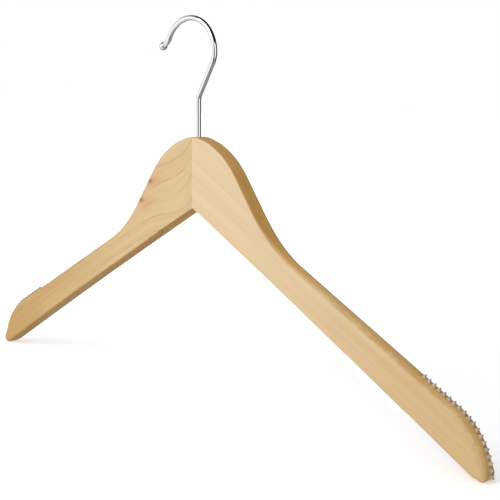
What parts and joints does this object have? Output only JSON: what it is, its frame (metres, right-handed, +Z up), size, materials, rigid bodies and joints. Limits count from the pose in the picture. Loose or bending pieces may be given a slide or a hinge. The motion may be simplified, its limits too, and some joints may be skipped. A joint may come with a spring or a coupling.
{
  "type": "wooden clothes hanger",
  "caption": "Flat wooden clothes hanger with a round head, sloping shoulders, ribbed rubber grips let into the shoulder ends and a swivelling wire hook.",
  "frame": {"origin": "on the ground line below the arm tips, midway between them and at mid-thickness; the hook turns about the Z axis through it", "axes": "+Z up along the hook shank, +X towards the right arm seen from the front, -Y out of the front face"},
  "size_m": [0.449, 0.012, 0.251],
  "materials": {
    "wood_left": "clear satin lacquer, open cathedral grain",
    "wood_right": "clear satin lacquer, fine straight grain",
    "dowel_wood": "bare, fluted",
    "rubber": "matt, soft",
    "brass": "turned",
    "steel": "plain, turned",
    "chrome": "bright plated"
  },
  "bodies": {
    "hanger_body": {"left_arm": "wood_left", "right_arm": "wood_right", "mitre_dowels": "dowel_wood", "left_grip_strip": "rubber", "right_grip_strip": "rubber", "swivel_sleeve": "brass", "thrust_washer": "steel"},
    "hook": {"swivel_hook": "chrome", "hook_ball_tip": "chrome", "retaining_collar": "steel"}
  },
  "joints": [
    {"name": "hook_swivel", "type": "hinge", "parent": "hanger_body", "child": "hook", "pos_m": [0, 0, 0.16], "axis": [0, 0, 1], "continuous": true}
  ]
}
